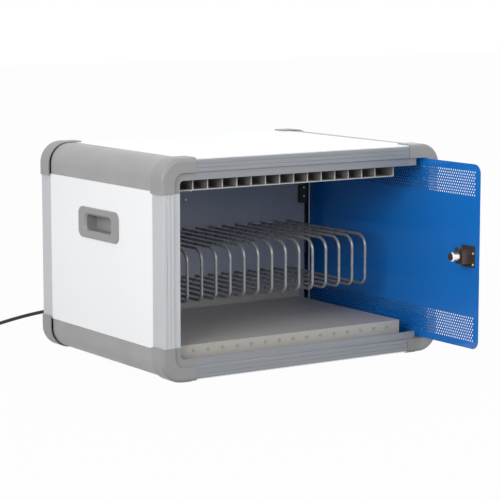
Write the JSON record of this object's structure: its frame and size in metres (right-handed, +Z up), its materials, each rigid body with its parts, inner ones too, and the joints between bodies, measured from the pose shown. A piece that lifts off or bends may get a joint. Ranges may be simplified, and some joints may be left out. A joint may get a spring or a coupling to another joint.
{
  "type": "charging cabinet",
  "caption": "Low charging cabinet for tablets or laptops, with an aluminium frame, rounded corner caps, wire loops, a cable comb and a perforated door that slides into its side.",
  "frame": {"origin": "centre of the standing footprint, in the plane under the feet, with the door slid in as pictured", "axes": "+X to the right seen from the front, +Y towards the back, +Z up"},
  "size_m": [0.9739, 0.7867, 0.4305],
  "materials": {
    "bare_aluminium": "satin",
    "cap_grey": "satin",
    "foot_rubber": "matte",
    "cover_grey": "satin",
    "white_sheet": "satin",
    "grip_grey": "satin",
    "inner_grey": "satin",
    "lamp_green": "translucent",
    "comb_plastic": "matte",
    "wire_coating": "satin",
    "door_blue": "satin",
    "slide_steel": "brushed",
    "glide_plastic": "matte",
    "strip_grey": "satin",
    "bright_steel": "satin",
    "lock_dark": "satin",
    "lock_chrome": "polished",
    "black_plastic": "satin",
    "switch_red": "glossy",
    "lead_black": "satin"
  },
  "bodies": {
    "cabinet": {"post_front_left": "bare_aluminium", "post_front_right": "bare_aluminium", "post_rear_left": "bare_aluminium", "post_rear_right": "bare_aluminium", "rail_front_bottom": "bare_aluminium", "rail_front_top": "bare_aluminium", "rail_rear_bottom": "bare_aluminium", "rail_rear_top": "bare_aluminium", "cap_front_left_bottom": "cap_grey", "cap_front_left_top": "cap_grey", "cap_front_right_bottom": "cap_grey", "cap_front_right_top": "cap_grey", "cap_rear_left_bottom": "cap_grey", "cap_rear_left_top": "cap_grey", "cap_rear_right_bottom": "cap_grey", "cap_rear_right_top": "cap_grey", "foot_pads": "foot_rubber", "cover_left_bottom": "cover_grey", "cover_left_top": "cover_grey", "cover_right_bottom": "cover_grey", "cover_right_top": "cover_grey", "panel_left": "white_sheet", "panel_right": "white_sheet", "panel_top": "white_sheet", "panel_bottom": "white_sheet", "panel_rear": "white_sheet", "grip_left": "grip_grey", "grip_right": "grip_grey", "inner_wall_left": "inner_grey", "back_wall": "inner_grey", "floor_tray": "inner_grey", "lamp_lenses": "lamp_green", "cable_comb": "comb_plastic", "wire_loops_1": "wire_coating", "wire_loops_2": "wire_coating", "wire_loops_3": "wire_coating", "wire_loops_4": "wire_coating", "slide_channel_bottom": "slide_steel", "slide_channel_top": "slide_steel", "sensor_screws": "bright_steel", "door_sensor": "black_plastic", "switch_frame": "black_plastic", "charging_supply": "black_plastic", "cable_gland": "lead_black", "mains_lead": "lead_black", "lead_coil": "lead_black", "coil_tie": "lead_black", "mains_plug": "lead_black"},
    "door": {"door_panel": "door_blue", "glide_shoes": "glide_plastic", "follower_strip": "strip_grey", "hinge_leaf": "strip_grey", "hinge_pin": "bright_steel", "lock_case": "lock_dark", "lock_screws": "bright_steel", "lock_rose": "bright_steel"},
    "lock_core": {"lock_spindle": "lock_dark", "lock_cam": "lock_dark", "lock_barrel": "lock_chrome"},
    "rocker": {"switch_rocker": "switch_red"}
  },
  "joints": [
    {"name": "door_slide", "type": "slide", "parent": "cabinet", "child": "door", "axis": [0, -1, 0], "range_m": [0, 0.385]},
    {"name": "lock_turn", "type": "hinge", "parent": "door", "child": "lock_core", "pos_m": [0.262, -0.29875, 0.218], "axis": [1, 0, 0], "range_deg": [0, 90]},
    {"name": "switch_tilt", "type": "hinge", "parent": "cabinet", "child": "rocker", "pos_m": [-0.163, 0.32575, 0.096], "axis": [-1, 0, 0], "range_deg": [0, 18]}
  ]
}
